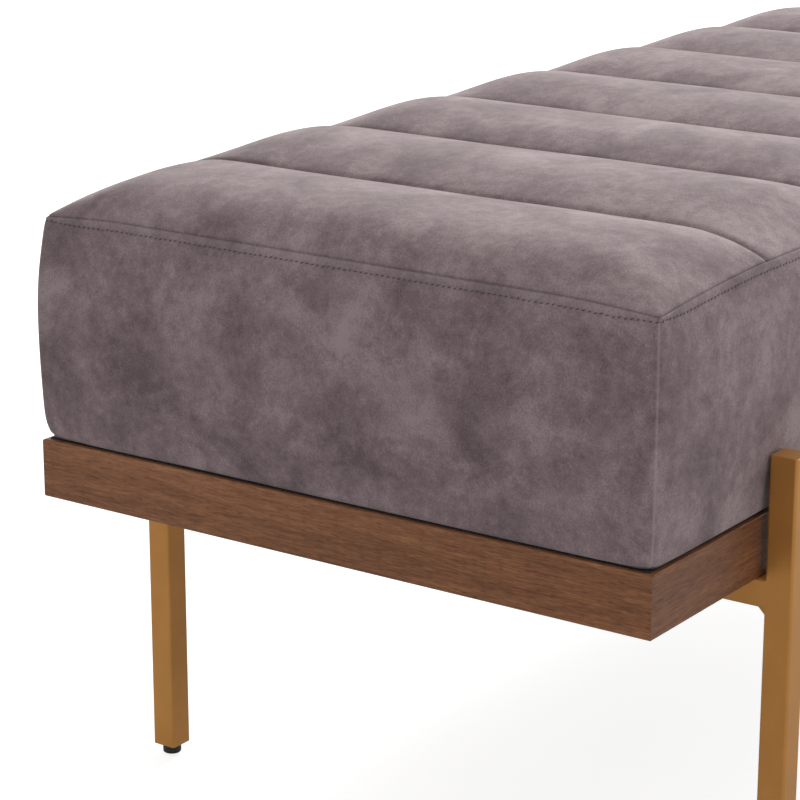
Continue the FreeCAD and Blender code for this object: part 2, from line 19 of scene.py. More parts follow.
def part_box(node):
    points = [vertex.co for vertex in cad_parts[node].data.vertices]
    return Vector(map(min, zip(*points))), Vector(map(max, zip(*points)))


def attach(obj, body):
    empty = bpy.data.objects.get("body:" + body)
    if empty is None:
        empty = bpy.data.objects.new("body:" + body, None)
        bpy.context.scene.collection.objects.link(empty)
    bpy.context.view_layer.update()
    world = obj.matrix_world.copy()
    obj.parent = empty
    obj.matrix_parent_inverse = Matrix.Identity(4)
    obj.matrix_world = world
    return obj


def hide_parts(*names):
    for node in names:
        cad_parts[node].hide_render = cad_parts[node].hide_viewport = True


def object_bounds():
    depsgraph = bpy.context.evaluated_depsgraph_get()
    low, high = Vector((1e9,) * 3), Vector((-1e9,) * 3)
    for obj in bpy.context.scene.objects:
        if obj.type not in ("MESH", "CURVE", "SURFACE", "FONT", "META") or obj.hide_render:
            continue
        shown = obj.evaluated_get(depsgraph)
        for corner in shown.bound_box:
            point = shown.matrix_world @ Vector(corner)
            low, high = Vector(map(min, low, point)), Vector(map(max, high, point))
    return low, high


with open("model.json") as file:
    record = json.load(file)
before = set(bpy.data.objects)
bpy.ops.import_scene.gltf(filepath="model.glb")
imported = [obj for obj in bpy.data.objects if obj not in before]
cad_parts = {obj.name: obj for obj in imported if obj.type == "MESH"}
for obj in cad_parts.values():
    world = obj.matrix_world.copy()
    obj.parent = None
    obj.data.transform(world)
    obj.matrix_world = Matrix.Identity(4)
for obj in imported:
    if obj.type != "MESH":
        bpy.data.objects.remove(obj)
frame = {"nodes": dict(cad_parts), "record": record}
nodes = frame["nodes"]
cad_low, cad_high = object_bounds()
scene = bpy.context.scene
scene.view_settings.view_transform = "Standard"
MM = 0.001
print("frame:", len(nodes), "nodes, size in mm", [round(side / MM, 1) for side in cad_high - cad_low])

# %% [markdown]
# ## Camera
# The picture is taken past the near left corner with a long lens, from a little above the seat. The place
# and the angles were fitted to the straight edges of the plinth and the posts, so they are written down
# as they came out: a place, a heading and a tilt.

# %% Camera
CAMERA_PLACE = Vector((-1.9435, -1.0112, 0.8539))
CAMERA_HEADING = math.radians(35.10)
CAMERA_TILT = math.radians(16.26)
LENS_MM = 123.34
SENSOR_MM = 36

lens = bpy.data.cameras.new("camera")
lens.lens = LENS_MM
lens.sensor_width = SENSOR_MM
camera = bpy.data.objects.new("camera", lens)
camera.location = CAMERA_PLACE
camera.rotation_euler = (math.pi / 2 - CAMERA_TILT, 0, CAMERA_HEADING - math.pi / 2)
scene.collection.objects.link(camera)
scene.camera = camera
away = (CAMERA_PLACE - (cad_low + cad_high) / 2).length
print("camera:", LENS_MM, "mm lens,", round(away, 2), "m from the middle")

# %% [markdown]
# ## Node helpers
# The surround, the floor and every finish are small networks of nodes. A few helpers keep them short. The
# first ones add a node, fill its sockets and do sums. The others are for the finishes, which are built
# round one Principled shader: noise patterns on the object's own coordinates, stretched where the real
# grain runs, drive the colour, the roughness and a fine bump.

# %% Nodes and sums


def feed(tree, socket, value):
    """Gives a socket a plain value or a link from another node's output."""
    if isinstance(value, bpy.types.NodeSocket):
        tree.links.new(value, socket)
    else:
        socket.default_value = value


def add(tree, kind, sockets=None, **settings):
    """A new node with its settings and its sockets filled by name."""
    made = tree.nodes.new(kind)
    for name, value in settings.items():
        setattr(made, name, value)
    for name, value in (sockets or {}).items():
        feed(tree, made.inputs[name], value)
    return made


def math_node(tree, operation, first, second):
    """One sum on two values or sockets."""
    made = add(tree, "ShaderNodeMath", operation=operation)
    feed(tree, made.inputs[0], first)
    feed(tree, made.inputs[1], second)
    return made.outputs["Value"]


def weighted(tree, parts):
    """The sum of several patterns, each times its weight."""
    (pattern, weight), *rest = parts
    total = math_node(tree, "MULTIPLY", pattern, weight)
    for pattern, weight in rest:
        total = math_node(tree, "ADD", total, math_node(tree, "MULTIPLY", pattern, weight))
    return total


print("helpers for nodes ready")

# %% Patterns, colours and relief


def start_finish(name, roughness, **shader_values):
    """A material with its tree, its shader and the object's own coordinates."""
    finish = bpy.data.materials.new(name)
    finish.use_nodes = True
    tree = finish.node_tree
    shader = tree.nodes["Principled BSDF"]
    shader.inputs["Roughness"].default_value = roughness
    for socket, value in shader_values.items():
        shader.inputs[socket.replace("_", " ")].default_value = value
    place = add(tree, "ShaderNodeTexCoord").outputs["Object"]
    return finish, tree, shader, place


def stretched(tree, place, scale):
    """Coordinates scaled by a different number along each axis; a small number draws the pattern out."""
    return add(tree, "ShaderNodeMapping", {"Vector": place, "Scale": scale}).outputs["Vector"]


def cloud(tree, place, scale, detail=3.0, roughness=0.55, distortion=0.0):
    """A soft noise pattern from 0 to 1 whose marks are about 1 / scale metres wide."""
    sockets = {"Vector": place, "Scale": scale, "Detail": detail, "Roughness": roughness}
    sockets["Distortion"] = distortion
    return add(tree, "ShaderNodeTexNoise", sockets).outputs["Fac"]


def band(tree, value, positions, colours):
    """A colour ramp with a colour at each position."""
    ramp = add(tree, "ShaderNodeValToRGB", {"Fac": value})
    points = ramp.color_ramp.elements
    while len(points) < len(positions):
        points.new(0.5)
    for point, position, colour in zip(points, positions, colours):
        point.position = position
        point.color = (*colour, 1)
    return ramp.outputs["Color"]


def blend_colours(tree, amount, first, second):
    """Two colours mixed by an amount."""
    made = add(tree, "ShaderNodeMix", data_type="RGBA")
    by_name = {socket.identifier: socket for socket in made.inputs}
    for socket, value in (("Factor_Float", amount), ("A_Color", first), ("B_Color", second)):
        feed(tree, by_name[socket], value)
    return next(socket for socket in made.outputs if socket.identifier == "Result_Color")


def uneven_gloss(tree, shader, pattern, smoothest, roughest):
    """A roughness that follows a pattern from one end to the other."""
    ends = {"Value": pattern, "To Min": smoothest, "To Max": roughest}
    gloss = add(tree, "ShaderNodeMapRange", ends)
    tree.links.new(gloss.outputs["Result"], shader.inputs["Roughness"])


def bump(tree, shader, height, strength, distance):
    """A fine relief for the shader's normal."""
    sockets = {"Height": height, "Strength": strength, "Distance": distance}
    made = add(tree, "ShaderNodeBump", sockets)
    tree.links.new(made.outputs["Normal"], shader.inputs["Normal"])


print("helpers for finishes ready")

# %% [markdown]
# ## Floor, backdrop and light
# A white studio: a pale floor that runs to the horizon, a white surround, one large soft lamp far beyond
# the far end and fairly low, and a second, weak one on the long side. The near end of the bench then lies
# in soft shade, and the near slope of every channel is darker than its far slope, which is what makes the
# channels readable. The surround lights the object with a plain, even level, and only rays that go
# straight to the camera or are mirrored see it as full white. The floor glows a little for the same rays,
# so that it looks white but keeps the object's shadow.

# %% Floor and surround
FLOOR_SIZE = 60.0
FLOOR_COLOUR = (0.55, 0.55, 0.55, 1)
FLOOR_GLOW_SEEN = 0.74
FLOOR_GLOW_MIRRORED = 0.30
SURROUND_LIGHT = 0.73
WHITE = (1, 1, 1, 1)


def seen_or_mirrored(tree):
    """A socket that is 1 for rays from the camera, from a mirror-like bounce or through glass."""
    path = add(tree, "ShaderNodeLightPath").outputs
    total = path["Is Camera Ray"]
    for name in ("Is Glossy Ray", "Is Transmission Ray"):
        total = math_node(tree, "MAXIMUM", total, path[name])
    return total


world = bpy.data.worlds.new("surround")
world.use_nodes = True
scene.world = world
sky = world.node_tree
plain = sky.nodes["Background"]
plain.inputs["Color"].default_value = WHITE
plain.inputs["Strength"].default_value = SURROUND_LIGHT
white = add(sky, "ShaderNodeBackground", {"Color": WHITE, "Strength": 1.0})
choice = add(sky, "ShaderNodeMixShader", {"Fac": seen_or_mirrored(sky)})
sky.links.new(plain.outputs["Background"], choice.inputs[1])
sky.links.new(white.outputs["Background"], choice.inputs[2])
sky.links.new(choice.outputs["Shader"], sky.nodes["World Output"].inputs["Surface"])

floor_finish = bpy.data.materials.new("floor")
floor_finish.use_nodes = True
tree = floor_finish.node_tree
tree.nodes.remove(tree.nodes["Principled BSDF"])
matt = add(tree, "ShaderNodeBsdfDiffuse", {"Color": FLOOR_COLOUR})
path = add(tree, "ShaderNodeLightPath").outputs
rays = ((path["Is Camera Ray"], FLOOR_GLOW_SEEN), (path["Is Glossy Ray"], FLOOR_GLOW_MIRRORED))
glow = add(tree, "ShaderNodeEmission", {"Strength": weighted(tree, rays)})
both = add(tree, "ShaderNodeAddShader")
tree.links.new(matt.outputs["BSDF"], both.inputs[0])
tree.links.new(glow.outputs["Emission"], both.inputs[1])
tree.links.new(both.outputs["Shader"], tree.nodes["Material Output"].inputs["Surface"])

sheet = bmesh.new()
bmesh.ops.create_grid(sheet, x_segments=1, y_segments=1, size=FLOOR_SIZE / 2)
floor_mesh = bpy.data.meshes.new("floor")
sheet.to_mesh(floor_mesh)
sheet.free()
floor = bpy.data.objects.new("floor", floor_mesh)
floor.data.materials.append(floor_finish)
scene.collection.objects.link(floor)
print("floor:", FLOOR_SIZE, "m wide; surround at", SURROUND_LIGHT)

# %% Lamps
SEAT_MIDDLE = (0, 0, 0.4)
FAR_LAMP = {"place": (12.8, 2.4, 6.9), "size": 7.0, "power": 2080}
SIDE_LAMP = {"place": (-0.8, -3.2, 1.8), "size": 1.8, "power": 8}


def softbox(name, place, aim, size, power):
    """A square lamp of that size in metres and power in watts, turned towards the aim."""
    light = bpy.data.lights.new(name, "AREA")
    light.shape = "SQUARE"
    light.size = size
    light.energy = power
    lamp = bpy.data.objects.new(name, light)
    lamp.location = place
    lamp.rotation_euler = (Vector(aim) - Vector(place)).to_track_quat("-Z", "Y").to_euler()
    scene.collection.objects.link(lamp)


softbox("far_softbox", aim=SEAT_MIDDLE, **FAR_LAMP)
softbox("side_softbox", aim=SEAT_MIDDLE, **SIDE_LAMP)

# %% [markdown]
# ## Suede
# The cover is a brushed, suede-like cloth. Its pile lies a little differently from one patch, a few
# centimetres wide, to the next, so it is mottled between a mauve brown and a warm grey, with finer marks
# and a speckle on top. It has no gloss, but its fibres catch light at a flat angle, which the shader's
# sheen gives. Two attributes on the mesh paint light and shade onto the seams: one is painted shade in
# the depth of each crease, partly the darker seam itself, and along the base where the cushion meets the
# wood; the other is a painted highlight along each upright corner and on the band under the top seam.

# %% Suede
NAP_DRAW = (0.78, 0.72, 0.78)
SUEDE_SHADE = (0.127, 0.089, 0.096)
SUEDE_MID = (0.214, 0.155, 0.163)
SUEDE_LIGHT = (0.318, 0.248, 0.254)
# Colour of the painted shade in the seam creases and along the base.
SEAM_SHADE = (0.030, 0.022, 0.023, 1)
# Colour of the painted highlight along the upright corners and on the band under the top seam.
HIGHLIGHT_COLOUR = (0.42, 0.36, 0.35, 1)
SHEEN_TINT = (1.0, 0.93, 0.90, 1)
PATCHES = {"scale": 23, "detail": 4, "roughness": 0.60, "distortion": 0.5}
MARKS = {"scale": 150, "detail": 3, "roughness": 0.65}
SPECKLE = {"scale": 800, "detail": 2, "roughness": 0.7}
PATCH_SHARE = 0.50
MARK_SHARE = 0.22
SPECKLE_SHARE = 0.28
SUEDE_STOPS = (0.39, 0.5, 0.61)


def suede_finish():
    """The mottled cloth of the cover, with painted shade and a painted highlight at its seams, from the
    mesh's attributes.
    """
    finish, tree, shader, place = start_finish("suede", 0.92, Sheen_Weight=0.25, Sheen_Roughness=0.45,
                                               Specular_IOR_Level=0.2)
    shader.inputs["Sheen Tint"].default_value = SHEEN_TINT
    nap = stretched(tree, place, NAP_DRAW)
    patches = cloud(tree, nap, **PATCHES)
    marks = cloud(tree, nap, **MARKS)
    speckle = cloud(tree, place, **SPECKLE)
    tone = weighted(tree, ((patches, PATCH_SHARE), (marks, MARK_SHARE), (speckle, SPECKLE_SHARE)))
    colour = band(tree, tone, SUEDE_STOPS, (SUEDE_SHADE, SUEDE_MID, SUEDE_LIGHT))
    # Painted highlight along the upright corners and on the band under the top seam.
    painted_highlight = add(tree, "ShaderNodeAttribute", attribute_name="painted_highlight").outputs["Fac"]
    colour = blend_colours(tree, painted_highlight, colour, HIGHLIGHT_COLOUR)
    # Painted shade in the seam creases and along the base.
    crease = add(tree, "ShaderNodeAttribute", attribute_name="crease").outputs["Fac"]
    colour = blend_colours(tree, crease, colour, SEAM_SHADE)
    tree.links.new(colour, shader.inputs["Base Color"])
    bump(tree, shader, speckle, strength=0.25, distance=0.4 * MM)
    return finish


suede = suede_finish()
print("finish:", suede.name, len(suede.node_tree.nodes), "nodes")

# %% [markdown]
# ## Walnut stain
# The plinth is a plain hardwood stained to a red-brown walnut and sealed to a satin. Its grain runs along
# each rail, so there are two versions of the finish, along X for the long rails and along Y for the short
# ones. They also differ in tone as painted light and shade: the long rails are painted darker, as shade
# on the long side, and the short ones lighter, as light on the end faces. Slow streaks give the figure,
# and flecks and dark pores, a few millimetres long and hair-thin, give the scale.

# %% Walnut
LONG_GRAIN = {"X": (1, 14, 14), "Y": (14, 1, 14), "Z": (14, 14, 1)}
FIGURE = {"scale": 3.4, "detail": 5, "roughness": 0.6, "distortion": 0.6}
STREAKS = {"scale": 26, "detail": 4, "roughness": 0.7}
FLECKS = {"scale": 90, "detail": 3, "roughness": 0.6}
VESSELS = {"scale": 150, "detail": 1, "roughness": 0.5}
FIGURE_SHARE = 0.36
STREAK_SHARE = 0.30
FLECK_SHARE = 0.34
WOOD_STOPS = (0.38, 0.5, 0.62)
PORE_STOPS = (0.58, 0.70)
PORE_SHARE = 0.6
BLACK_TO_WHITE = ((0, 0, 0), (1, 1, 1))


def wood_finish(name, along, dark, middle, light, pore, roughness):
    """A wood whose grain runs along one axis. The pore colour marks the short open vessels."""
    finish, tree, shader, place = start_finish(name, roughness, Specular_IOR_Level=0.22)
    lengthwise = stretched(tree, place, LONG_GRAIN[along])
    figure = cloud(tree, lengthwise, **FIGURE)
    streaks = cloud(tree, lengthwise, **STREAKS)
    flecks = cloud(tree, lengthwise, **FLECKS)
    tone = weighted(tree, ((figure, FIGURE_SHARE), (streaks, STREAK_SHARE), (flecks, FLECK_SHARE)))
    colour = band(tree, tone, WOOD_STOPS, (dark, middle, light))
    pores = band(tree, cloud(tree, lengthwise, **VESSELS), PORE_STOPS, BLACK_TO_WHITE)
    amount = math_node(tree, "MULTIPLY", pores, PORE_SHARE)
    colour = blend_colours(tree, amount, colour, (*pore, 1))
    tree.links.new(colour, shader.inputs["Base Color"])
    uneven_gloss(tree, shader, streaks, roughness - 0.07, roughness + 0.1)
    raised = math_node(tree, "SUBTRACT", 1.0, pores)
    bump(tree, shader, raised, strength=0.35, distance=0.2 * MM)
    return finish


# The long rails' copy is painted darker as shade on the long side, the short rails' copy lighter as light on
# the end faces; the wood and its stain are the same.
WALNUT_X_SHADED = {"dark": (0.090, 0.031, 0.012), "middle": (0.164, 0.063, 0.026), "light": (0.253, 0.108, 0.048),
            "pore": (0.045, 0.016, 0.008), "roughness": 0.40}
WALNUT_Y_LIT = {"dark": (0.118, 0.042, 0.018), "middle": (0.222, 0.090, 0.039), "light": (0.345, 0.155, 0.073),
            "pore": (0.055, 0.019, 0.009), "roughness": 0.40}
walnut = {"X": wood_finish("walnut_along_x_shaded", "X", **WALNUT_X_SHADED)}
walnut["Y"] = wood_finish("walnut_along_y_lit", "Y", **WALNUT_Y_LIT)
print("finishes:", [finish.name for finish in walnut.values()])

# %% [markdown]
# ## Brass, nylon, steel, raw wood and dust cloth
# The tubes have a satin brass coat, half metal and half paint: it mirrors the room softly, so its faces
# differ by what lies in front of them. A slow change of roughness keeps them from looking printed. The
# other finishes are for the feet and for what is seen only from below or stays inside: black nylon
# glides, zinc-plated steel, the pale wood of the battens and blocks, the plywood deck and the black
# felted cloth under it.

# %% Brass
BRASS = {"colour": (0.480, 0.222, 0.056), "worn": (0.445, 0.203, 0.050), "roughness": 0.42, "spread": 0.06,
         "metal": 0.5}
ZINC = {"colour": (0.62, 0.62, 0.64), "worn": (0.50, 0.50, 0.51), "roughness": 0.34, "spread": 0.08,
        "metal": 1.0}
WEAR_STOPS = (0.35, 0.62)


def metal_finish(name, colour, worn, roughness, spread, metal):
    """A metal with a soft change of tone and roughness over its surface."""
    finish, tree, shader, place = start_finish(name, roughness, Metallic=metal, Specular_IOR_Level=0.25)
    cloudy = cloud(tree, place, scale=38, detail=4)
    fine = cloud(tree, place, scale=700, detail=2)
    shade = band(tree, cloudy, WEAR_STOPS, (worn, colour))
    tree.links.new(shade, shader.inputs["Base Color"])
    uneven_gloss(tree, shader, cloudy, roughness - spread, roughness + spread)
    bump(tree, shader, fine, strength=0.12, distance=0.05 * MM)
    return finish


brass = metal_finish("satin_brass", **BRASS)
steel = metal_finish("zinc_steel", **ZINC)
print("finishes:", brass.name, steel.name)

# %% Nylon, raw wood and cloth
NYLON = {"colour": (0.012, 0.012, 0.012), "speck": (0.020, 0.020, 0.020), "scale": 1500, "roughness": 0.55,
         "relief": 0.05 * MM}
FELT = {"colour": (0.012, 0.012, 0.013), "speck": (0.035, 0.035, 0.038), "scale": 650, "roughness": 0.95,
        "relief": 0.3 * MM}
PALE = {"dark": (0.40, 0.27, 0.145), "middle": (0.50, 0.355, 0.20), "light": (0.585, 0.43, 0.26),
        "pore": (0.33, 0.21, 0.11), "roughness": 0.62}
PLY = {"dark": (0.46, 0.32, 0.17), "middle": (0.56, 0.40, 0.22), "light": (0.63, 0.47, 0.28),
       "pore": (0.36, 0.23, 0.12), "roughness": 0.66}
SPECK_STOPS = (0.4, 0.65)


def matt_finish(name, colour, speck, scale, roughness, relief):
    """A dull finish with a fine speckle, for moulded nylon and felted cloth."""
    finish, tree, shader, place = start_finish(name, roughness, Specular_IOR_Level=0.35)
    speckle = cloud(tree, place, scale, detail=3)
    tree.links.new(band(tree, speckle, SPECK_STOPS, (colour, speck)), shader.inputs["Base Color"])
    bump(tree, shader, speckle, strength=0.4, distance=relief)
    return finish


nylon = matt_finish("black_nylon", **NYLON)
dust_cloth = matt_finish("dust_cloth", **FELT)
timber = {axis: wood_finish(f"timber_along_{axis.lower()}", axis, **PALE) for axis in ("X", "Y", "Z")}
plywood = wood_finish("plywood", "X", **PLY)
print("finishes:", nylon.name, dust_cloth.name, plywood.name, len(timber), "timbers")

# %% [markdown]
# ## Finishes on the CAD pieces
# The record names a material slot for every CAD piece. Here each slot gets its finish, and the wooden
# pieces get the version whose grain runs the way the piece was sawn: along its longest side.

# %% Give every CAD piece its finish
LENGTH_AXES = ("X", "Y", "Z")
by_slot = {"brass_finish": brass, "steel": steel, "black_nylon": nylon, "dust_cloth": dust_cloth,
           "plywood": plywood}
by_slot_and_axis = {"walnut": walnut, "timber": timber}


def longest_axis(name):
    """The axis along which a CAD piece is longest."""
    low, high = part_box(name)
    sides = high - low
    return LENGTH_AXES[max(range(3), key=lambda index: sides[index])]


soft_slots = ("suede", "foam", "wadding")
finished = 0
for part in frame["record"]["subparts"]:
    slot_name = part["material_slot"]
    if slot_name in soft_slots:
        continue
    piece = nodes[part["node"]]
    if slot_name in by_slot_and_axis:
        finish = by_slot_and_axis[slot_name][longest_axis(part["node"])]
    else:
        finish = by_slot[slot_name]
    piece.data.materials.clear()
    piece.data.materials.append(finish)
    finished += 1
print("finished", finished, "CAD pieces")

# %% [markdown]
# ## The cushion as a cut block
# The cushion is one sewn cover over foam. A boxed cushion starts as a block, so the mesh starts as a cube
# of the cushion's size and its edges are subdivided, first evenly, and then each row of points is moved
# to its own place. Rows lie close together beside each seam, where the cloth turns sharply, and about a
# centimetre apart elsewhere. Every face stays a quad and every seam has a straight row of points, which
# is what pinning, creasing and stitching need later. The underside is left as one face.

# %% Sizes of the cushion
wood_low, wood_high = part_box("front_rail")
HALF_LENGTH = wood_high.x
HALF_WIDTH = -wood_low.y
CUSHION_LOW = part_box("dust_cover")[1].z + 0.1 * MM
SEAM_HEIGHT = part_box("top_cover")[0].z
CREST_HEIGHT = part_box("top_cover")[1].z
CHANNELS = 8
seams = []
for number in range(1, CHANNELS):
    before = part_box(f"channel_pad_{number}")[1].x
    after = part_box(f"channel_pad_{number + 1}")[0].x
    seams.append((before + after) / 2)
print("cushion:", CHANNELS, "channels, seams at", [round(x / MM) for x in seams], "mm")

# %% Cut the block
EDGE_ROWS = [0.5 * MM, 1.2 * MM, 3 * MM, 6 * MM, 11 * MM, 18 * MM, 27 * MM, 38 * MM]
SEAM_ROWS = [0.7 * MM, 1.8 * MM, 4 * MM, 9 * MM]
STITCH_DROP = 6.0 * MM
BELOW_SEAM_ROWS = [0.5 * MM, 1.2 * MM, 3 * MM, 5.2 * MM, STITCH_DROP, 6.9 * MM, 9 * MM, 14 * MM, 22 * MM]
ABOVE_BASE_ROWS = [1.2 * MM, 3 * MM, 6 * MM, 11 * MM, 19 * MM]
CELL = 11 * MM
TOUCHING = 0.01 * MM
NEVER_ZERO = 1e-9


def even_rows(start, stop, cell):
    """Positions that divide a stretch evenly, without its ends."""
    count = max(1, round((stop - start) / cell))
    return [start + (stop - start) * step / count for step in range(1, count)]


def cut_places():
    """Where the planes cut the block, along X, Y and Z."""
    along_x = [seam + side * row for seam in seams for row in SEAM_ROWS for side in (-1, 1)] + list(seams)
    for first, last in zip(seams, seams[1:]):
        along_x += [first + SEAM_ROWS[-1], *even_rows(first + SEAM_ROWS[-1], last - SEAM_ROWS[-1], CELL)]
    for side in (-1, 1):
        along_x += [side * (HALF_LENGTH - row) for row in EDGE_ROWS]
        along_x += [side * x for x in even_rows(seams[-1] + SEAM_ROWS[-1], HALF_LENGTH - EDGE_ROWS[-1], CELL)]
    along_y = [side * (HALF_WIDTH - row) for row in EDGE_ROWS for side in (-1, 1)]
    along_y += even_rows(-HALF_WIDTH + EDGE_ROWS[-1], HALF_WIDTH - EDGE_ROWS[-1], CELL)
    along_z = [SEAM_HEIGHT - row for row in BELOW_SEAM_ROWS] + [CUSHION_LOW + row for row in ABOVE_BASE_ROWS]
    along_z += even_rows(CUSHION_LOW + ABOVE_BASE_ROWS[-1], SEAM_HEIGHT - BELOW_SEAM_ROWS[-1], CELL)
    return [sorted({round(value, 6) for value in values}) for values in (along_x, along_y, along_z)]


def length_along(edge, axis):
    """How long an edge is along one axis."""
    return abs(edge.verts[0].co[axis] - edge.verts[1].co[axis])


def cut_block(cuts):
    """A cube divided into rows of quads at the given cuts along X, Y and Z, with one face underneath."""
    block = bmesh.new()
    bmesh.ops.create_cube(block, size=1)
    ends = ((-HALF_LENGTH, HALF_LENGTH), (-HALF_WIDTH, HALF_WIDTH), (CUSHION_LOW, SEAM_HEIGHT))
    for axis in (2, 1, 0):
        along = [edge for edge in block.edges if length_along(edge, axis) > TOUCHING]
        bmesh.ops.subdivide_edges(block, edges=along, cuts=len(cuts[axis]), use_grid_fill=True)
    for axis in (0, 1, 2):
        rows = [ends[axis][0], *cuts[axis], ends[axis][1]]
        for vertex in block.verts:
            step = round((vertex.co[axis] + 0.5) * (len(rows) - 1))
            vertex.co[axis] = rows[step]
    block.normal_update()
    underside = [face for face in block.faces if face.normal.z < -0.5]
    bmesh.ops.dissolve_faces(block, faces=underside, use_verts=False)
    return block


cuts = cut_places()
block = cut_block(cuts)
mesh = bpy.data.meshes.new("seat_cushion")
block.to_mesh(mesh)
block.free()
flat_places = np.array([vertex.co for vertex in mesh.vertices])
print("block:", len(mesh.vertices), "points,", len(mesh.polygons), "faces")

# %% [markdown]
# ## The shape of the cushion
# Each point of the block is moved to where the sewn cushion has it. The plan gets small round corners.
# The sides are widest at mid height, lean in to the top seam and to the base, and turn under where they
# meet the wood. The top rolls up from the seam to the seat and swells between the channel seams, and that
# swelling dies out towards the long sides. The end channels are flatter and tilt towards the end. The
# seam round the top dips at the corners, and the row of stitches under it is drawn up to it there, as on
# sewn corners.

# %% Sizes of the shape
CORNER_RADIUS = 4 * MM
CORNER_RADIUS_RIM = 5 * MM
CORNER_RADIUS_BASE = 11 * MM
RIM_REACH = 24 * MM
BASE_REACH = 16 * MM
BASE_CORNER_LIFT = 1.2 * MM
SIDE_SWELL = 1.2 * MM
END_TOP_PULL = 8 * MM
SIDE_TOP_PULL = 4.8 * MM
BASE_PULL = 2.6 * MM
BASE_TURN = 4 * MM
WIDEST_SHARE = 0.55
LEAN_REACH = 60 * MM
CORNER_DIP = 4 * MM
END_RISE = 4 * MM
END_RISE_REACH = 70 * MM
SIDE_RISE = 8.5 * MM
SIDE_RISE_REACH = 140 * MM
RISE_POWER = 1.5
STITCH_PINCH = 0.55
STITCH_PINCH_REACH = 22 * MM
END_ROLL = 42 * MM
END_ROLL_POWER = 2.4
END_ROLL_SPREAD = 0.45
END_ROLL_SPREAD_REACH = 130 * MM
SIDE_ROLL = 58 * MM
SIDE_ROLL_POWER = 2.0
CORNER_FULLNESS = 1.9
CREST_LIFT = 4.5 * MM
SEAM_DEPTH = 13 * MM
CHANNEL_POWER = 2.0
CROWN_REACH = 82 * MM
END_SHARE = 0.40
END_BACK = 48 * MM
END_FALL = 5 * MM

corner_height = SEAM_HEIGHT - CORNER_DIP
x_flat, y_flat, z_flat = flat_places.T
end_gap = HALF_LENGTH - np.abs(x_flat)
side_gap = HALF_WIDTH - np.abs(y_flat)
height_share = (z_flat - CUSHION_LOW) / (SEAM_HEIGHT - CUSHION_LOW)
on_top = z_flat > SEAM_HEIGHT - TOUCHING
print("points on the top:", int(on_top.sum()), "of", len(on_top))

# %% Swell, roll and lean


def smooth(value):
    """A soft step from 0 to 1."""
    held = np.clip(value, 0, 1)
    return held * held * (3 - 2 * held)


def eased(value):
    """A rise from 0 to 1 that starts at once and ends softly."""
    return 1 - (1 - np.clip(value, 0, 1)) ** RISE_POWER


def channel_swell():
    """How much each point of the top rises between two seams, from 0 on a seam to 1 on the crest."""
    seam_line = np.array(seams)
    left = np.searchsorted(seam_line, x_flat) - 1
    inner = (left >= 0) & (left < len(seams) - 1)
    start = seam_line[np.clip(left, 0, len(seams) - 2)]
    stop = seam_line[np.clip(left + 1, 1, len(seams) - 1)]
    across = np.where(inner, (2 * x_flat - start - stop) / (stop - start), 0)
    from_seam = np.abs(x_flat) - seams[-1]
    across = np.where(inner, across, np.clip(1 - from_seam / END_BACK, 0, 1))
    return (1 - np.abs(across) ** CHANNEL_POWER) * np.where(inner, 1, END_SHARE)


def end_tilt():
    """How far the top of an end channel falls from its crest towards the end."""
    past_crest = np.abs(x_flat) - seams[-1] - END_BACK
    return END_FALL * np.clip(past_crest / (HALF_LENGTH - seams[-1] - END_BACK), 0, 1)


def joint_rise(end_drop, side_drop):
    """The share of its full rise that the top has where both rolls pull it down, without a flat corner."""
    pulls = [share / np.maximum(1 - share, NEVER_ZERO) for share in (end_drop, side_drop)]
    return 1 / (1 + (pulls[0] ** CORNER_FULLNESS + pulls[1] ** CORNER_FULLNESS) ** (1 / CORNER_FULLNESS))


def side_lean(top_pull):
    """How far a side stands in from the wood's edge, by height."""
    upward = np.clip((height_share - WIDEST_SHARE) / (1 - WIDEST_SHARE), 0, 1)
    downward = np.clip((WIDEST_SHARE - height_share) / WIDEST_SHARE, 0, 1)
    under = np.clip((CUSHION_LOW + BASE_TURN - z_flat) / BASE_TURN, 0, 1)
    turned = BASE_TURN * (1 - np.sqrt(1 - under ** 2))
    return top_pull * upward ** 2 + BASE_PULL * downward ** 2 - SIDE_SWELL + turned


def corner_pinch():
    """How far the stitch row and the cloth round it are drawn up to the seam at an upright corner."""
    drop = SEAM_HEIGHT - z_flat
    below = np.clip((drop - STITCH_DROP) / (3 * STITCH_DROP), 0, 1)
    drawn = np.where(drop < STITCH_DROP, drop, STITCH_DROP * (1 - smooth(below)))
    from_corner = np.maximum(end_gap, side_gap) / STITCH_PINCH_REACH
    return STITCH_PINCH * drawn * np.exp(-from_corner ** 2)


print("end channels fall by up to", round(end_tilt().max() / MM, 1), "mm")

# %% Move the points


